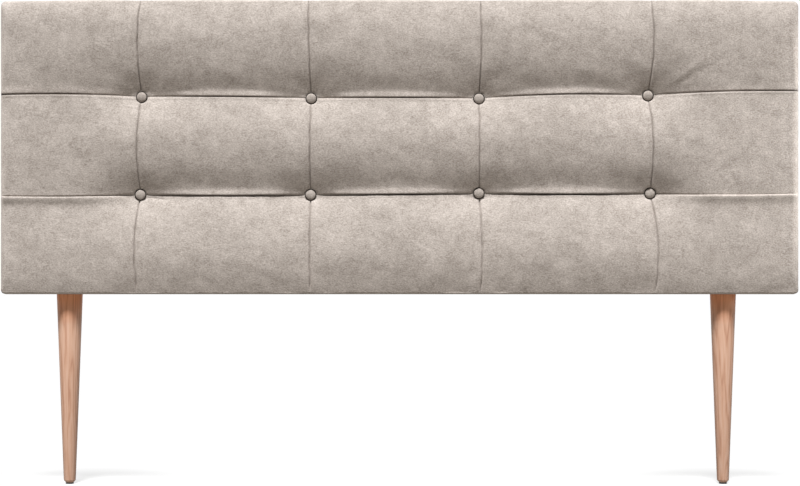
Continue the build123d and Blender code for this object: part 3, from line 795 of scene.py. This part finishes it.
# Dust cloth: thin black spunbond stapled over the open back, a little slack between the stiles and
# cut open behind the keyholes of the hangers.
cloth_half = 0.786
cloth_half_height = 0.280
cloth_face = 0.0381
cloth_thickness = 0.0008
hanger_spots = [(-0.3497, 0.8711), (0.3311, 0.8711)]
window_x, window_z = 0.010, 0.026
stile_middles = [-0.7756, -0.3497, -0.0093, 0.3311, 0.7756]
window_sides = [x + side * window_x for x, _ in hanger_spots for side in (-1, 1)]
window_ends = [hanger_spots[0][1] + side * window_z for side in (-1, 1)]


def cloth_lines(low, high, count, edges):
    """Even lines of a net, where the given edges take the place of the lines close to them."""
    even = [round(v, 5) for v in np.linspace(low, high, count)]
    return sorted([v for v in even if all(abs(v - edge) > 0.002 for edge in edges)] + edges)


x_cloth, z_cloth = np.meshgrid(
    cloth_lines(-cloth_half, cloth_half, 193, window_sides),
    cloth_lines(panel_middle - cloth_half_height, panel_middle + cloth_half_height, 71, window_ends)[::-1],
)
from_stile = np.min([np.abs(x_cloth - x) for x in stile_middles], 0)
open_share = risen(from_stile, 0.026, 0.05) * np.clip((0.245 - np.abs(z_cloth - panel_middle)) / 0.05, 0, 1)
sag = 0.0014 + 0.0010 * wander(x_cloth, z_cloth, 0.12, 9) + 0.0005 * wander(x_cloth, z_cloth, 0.04, 10)
cloth_y = cloth_face - cloth_thickness / 2 - open_share * sag
dust_cloth, _, _ = make_net("dust_cloth_back", np.stack([x_cloth, cloth_y, z_cloth], -1))
bpy.ops.object.mode_set(mode="EDIT")
bpy.ops.mesh.select_mode(type="FACE")
bpy.ops.mesh.select_all(action="DESELECT")
bpy.ops.object.mode_set(mode="OBJECT")
for face in dust_cloth.data.polygons:
    face.select = any(
        abs(face.center.x - x) < window_x and abs(face.center.z - z) < window_z for x, z in hanger_spots
    )
bpy.ops.object.mode_set(mode="EDIT")
bpy.ops.mesh.delete(type="FACE")
bpy.ops.mesh.select_all(action="SELECT")
bpy.ops.mesh.flip_normals()
bpy.ops.object.mode_set(mode="OBJECT")
bpy.ops.object.shade_smooth()
wall = dust_cloth.modifiers.new("cloth", "SOLIDIFY")
wall.thickness = cloth_thickness - 0.0001
wall.offset = 0
bpy.ops.object.modifier_apply(modifier="cloth")
spunbond_tones = [(0.012, 0.012, 0.013, 1), (0.040, 0.039, 0.041, 1)]
spunbond, tree, shader = start_material("black_spunbond")
spot = own_place(tree)
dots = joined(tree, "ShaderNodeTexVoronoi", place=(-850, 100), Vector=spot, Scale=700.0, Randomness=0.25)
fluff = noise(tree, spot, 260.0, place=(-850, -200), Detail=6.0)
colour = toned(tree, noise(tree, spot, 9.0, place=(-850, 350), Detail=3.0), spunbond_tones)
both = worked(tree, "MULTIPLY_ADD", dots.outputs["Distance"], -1.0, fluff, place=(-350, -200))
finished(tree, shader, colour, 0.75, both, strength=0.5, deep=0.0004)
dust_cloth.data.materials.append(spunbond)
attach(dust_cloth, "root")
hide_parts("back_cloth")

# Keyhole hangers and their screws: stamped zinc-plated plates over the cloth, one on each of two
# inner stiles, fixed by two pan-head screws.
dress("wall_hangers", plated_steel("hanger_plate", (0.66, 0.66, 0.64), 0.28, 0.25))
dress("hanger_screws", plated_steel("screw_steel", (0.52, 0.52, 0.50), 0.3, 0.2))

# Legs: straight turned cones of beech with a chamfered foot, stained a pinkish brown and given a
# satin varnish. The grain runs up the leg, and each was turned from another blank.
leg_spots = [-0.6678, 0.6544]
leg_y = 0.0073
leg_radius = 0.026
foot_share = 0.462  # of the leg's radius, over the chamfer
sole_share = 0.68  # of the foot's radius, under the chamfer
chamfer_height = 0.0045
glide_height = 0.003
cone_foot = glide_height + chamfer_height
cone_length = panel_bottom - cone_foot
leg_bevel = 0.0008
leg_tones = [(0.395, 0.200, 0.127, 1), (0.565, 0.336, 0.232, 1), (0.62, 0.400, 0.296, 1)]
# Painted warm light in the panel's shadow on the leg tops: the wood's colour is tinted warmer, fading out
# downwards from just under the panel
under_panel_shade_tint = (1.35, 0.96, 0.68, 1)  # warmer, close under the panel
for side, x_leg in zip(("left", "right"), leg_spots):
    bpy.ops.object.select_all(action="DESELECT")
    bpy.ops.mesh.primitive_cylinder_add(
        vertices=72, radius=leg_radius, depth=cone_length, location=(x_leg, leg_y, cone_foot + cone_length / 2)
    )
    bpy.ops.object.transform_apply(location=True, rotation=False, scale=False)
    leg = bpy.context.object
    leg.name = f"turned_leg_{side}"
    bpy.ops.object.mode_set(mode="EDIT")
    bpy.ops.mesh.select_mode(type="FACE")
    bpy.ops.mesh.select_all(action="DESELECT")
    bpy.ops.object.mode_set(mode="OBJECT")
    for face in leg.data.polygons:
        face.select = face.normal.z < -0.9
    bpy.ops.object.mode_set(mode="EDIT")
    bpy.ops.transform.resize(value=(foot_share, foot_share, 1), center_override=(x_leg, leg_y, cone_foot))
    bpy.ops.mesh.extrude_region_move(TRANSFORM_OT_translate={"value": (0, 0, -chamfer_height)})
    bpy.ops.transform.resize(value=(sole_share, sole_share, 1), center_override=(x_leg, leg_y, glide_height))
    bpy.ops.mesh.select_mode(type="EDGE")
    bpy.ops.mesh.select_all(action="DESELECT")
    bpy.ops.object.mode_set(mode="OBJECT")
    for edge in leg.data.edges:
        a, b = (leg.data.vertices[i].co for i in edge.vertices)
        edge.select = abs(a.z - b.z) < 1e-5
    bpy.ops.object.mode_set(mode="EDIT")
    bpy.ops.mesh.bevel(offset=leg_bevel, segments=3, affect="EDGES")
    bpy.ops.object.mode_set(mode="OBJECT")
    bpy.ops.object.shade_smooth_by_angle(angle=math.radians(50))
    wood, tree, shader = start_material(f"stained_beech_{side}")
    placed = grain_along(tree, (x_leg * 3, 0.4, 0.1), grain_upright, length=16.0, bands=26.0)
    leg_colour = toned(tree, placed.outputs["Figure"], leg_tones, low=0.25, high=0.85)
    height = joined(tree, "ShaderNodeSeparateXYZ", place=(-900, -400), Vector=own_place(tree, (-1100, -400)))
    # Share of the painted warm shade tint: full near the top of the leg, none below 0.322 m
    under_panel_share = joined(
        tree, "ShaderNodeMapRange", place=(-650, -400), Value=height.outputs["Z"], From_Min=0.322, From_Max=0.372
    )
    leg_colour = mixed(tree, under_panel_share.outputs["Result"], leg_colour, under_panel_shade_tint, blend="MULTIPLY", place=(-50, 100))
    # Painted shade: the leg's colour darkens towards its outline as seen by the camera, where the round sides turn
    # away from the light
    rim_view = joined(tree, "ShaderNodeLayerWeight", place=(-50, 400), Blend=0.5)
    painted_edge_shade = joined(
        tree, "ShaderNodeMapRange", place=(120, 400), Value=rim_view.outputs["Facing"], From_Min=0.25
    )
    colour = mixed(
        tree, painted_edge_shade.outputs["Result"], leg_colour, (0.72, 0.64, 0.58, 1), blend="MULTIPLY", place=(300, 300)
    )
    finished(tree, shader, colour, 0.5, placed.outputs["Pores"], strength=0.12, deep=0.0003)
    shader.inputs["Specular IOR Level"].default_value = 0.3
    shader.inputs["Coat Weight"].default_value = 0.10
    shader.inputs["Coat Roughness"].default_value = 0.3
    leg.data.materials.append(wood)
    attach(leg, "root")
    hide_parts("legs")

# Glides under the feet: dark grey plastic discs with a nail moulded in, driven into the leg's end
# and dull from the floor.
dress("foot_glides", moulded_plastic("grey_glide", (0.11, 0.105, 0.10), 0.55))

# Studio: a wide white floor that keeps a faint shadow round the feet, an even pale surround, one high
# soft lamp to the front and left with a faint one at each side that lights the panel's edges, and the
# camera straight in front at half the headboard's height.
film_width = 36  # in millimetres
camera_distance = 3.6
seen_width = 1.607
rim_lamp_height = 0.700
bpy.ops.object.select_all(action="DESELECT")
bpy.ops.mesh.primitive_plane_add(size=40, location=(0, 0, 0))
floor = bpy.context.object
floor.name = "studio_floor"


def seen_directly(tree):
    """1 where the camera sees a surface, straight, mirrored or through another, and 0 where it only lights."""
    rays = joined(tree, "ShaderNodeLightPath", place=(-600, 300))
    seen = worked(
        tree, "MAXIMUM", rays.outputs["Is Camera Ray"], rays.outputs["Is Glossy Ray"], place=(-400, 300)
    )
    return worked(tree, "MAXIMUM", seen, rays.outputs["Is Transmission Ray"], place=(-250, 300))


paper, tree, _ = start_material("white_paper")
tree.nodes.clear()
seen = seen_directly(tree)
floor_spot = own_place(tree, (-900, 600))
from_feet = [
    joined(
        tree, "ShaderNodeVectorMath", place=(-700, 500 + 200 * number), settings={"operation": "DISTANCE"},
        n0=floor_spot, n1=(x_leg + 0.02, leg_y + 0.06, 0),
    ).outputs["Value"]
    for number, x_leg in enumerate(leg_spots)
]
nearer = worked(tree, "MINIMUM", *from_feet, place=(-500, 600))
far_share = joined(
    tree, "ShaderNodeMapRange", place=(-300, 600), Value=nearer, From_Min=0.07, From_Max=0.20, To_Min=0.77,
    To_Max=1.0,
)
share = worked(tree, "MULTIPLY", seen, far_share.outputs["Result"], place=(-100, 300))
tone = mixed(tree, seen, (0.24, 0.225, 0.206, 1), (0.8, 0.8, 0.8, 1), place=(-300, 100))
lit = joined(tree, "ShaderNodeBsdfDiffuse", place=(-100, 100), Color=tone)
bright = joined(tree, "ShaderNodeEmission", place=(-100, -50), Color=(1, 1, 1, 1), Strength=1.01)
blended = joined(
    tree, "ShaderNodeMixShader", place=(150, 100), n0=share, n1=lit.outputs[0], n2=bright.outputs[0]
)
joined(tree, "ShaderNodeOutputMaterial", place=(350, 100), Surface=blended.outputs[0])
floor.data.materials.append(paper)

world = bpy.data.worlds.new("white_studio")
world.use_nodes = True
bpy.context.scene.world = world
tree = world.node_tree
tree.nodes.clear()
seen = seen_directly(tree)
strength = joined(tree, "ShaderNodeMapRange", place=(-100, 0), Value=seen, To_Min=0.13, To_Max=1.0)
warmth = mixed(tree, seen, (1, 0.955, 0.90, 1), (1, 1, 1, 1), place=(-100, 200))
sky = joined(tree, "ShaderNodeBackground", place=(100, 0), Color=warmth, Strength=strength.outputs["Result"])
joined(tree, "ShaderNodeOutputWorld", place=(300, 0), Surface=sky.outputs[0])

key_data = bpy.data.lights.new("key_lamp", "SUN")
key_data.energy = 6.55
key_data.angle = math.radians(14)
key = bpy.data.objects.new("key_lamp", key_data)
bpy.context.collection.objects.link(key)
key_from = Vector((-0.045, -0.38, 0.924))
key.rotation_euler = key_from.to_track_quat("Z", "Y").to_euler()
for side, power, x_rim, y_rim in (("left", 0.09, -1.5, -0.05), ("right", 0.36, 1.5, -0.08)):
    rim_data = bpy.data.lights.new(f"rim_lamp_{side}", "AREA")
    rim_data.shape = "RECTANGLE"
    rim_data.size = 0.12
    rim_data.size_y = 0.50
    rim_data.spread = math.radians(20)
    rim_data.energy = power
    rim = bpy.data.objects.new(f"rim_lamp_{side}", rim_data)
    bpy.context.collection.objects.link(rim)
    rim.location = (x_rim, y_rim, rim_lamp_height)
    rim.rotation_euler = Vector((x_rim, y_rim - front_plane, 0)).to_track_quat("Z", "Y").to_euler()

camera_data = bpy.data.cameras.new("photo_camera")
camera_data.sensor_width = film_width
camera_data.lens = film_width * camera_distance / seen_width
camera = bpy.data.objects.new("photo_camera", camera_data)
bpy.context.collection.objects.link(camera)
camera.location = (0.0007, front_plane + edge_round - camera_distance, 0.4869)
camera.rotation_euler = (math.radians(90), 0, 0)
bpy.context.scene.camera = camera
bpy.context.scene.view_settings.view_transform = "Standard"
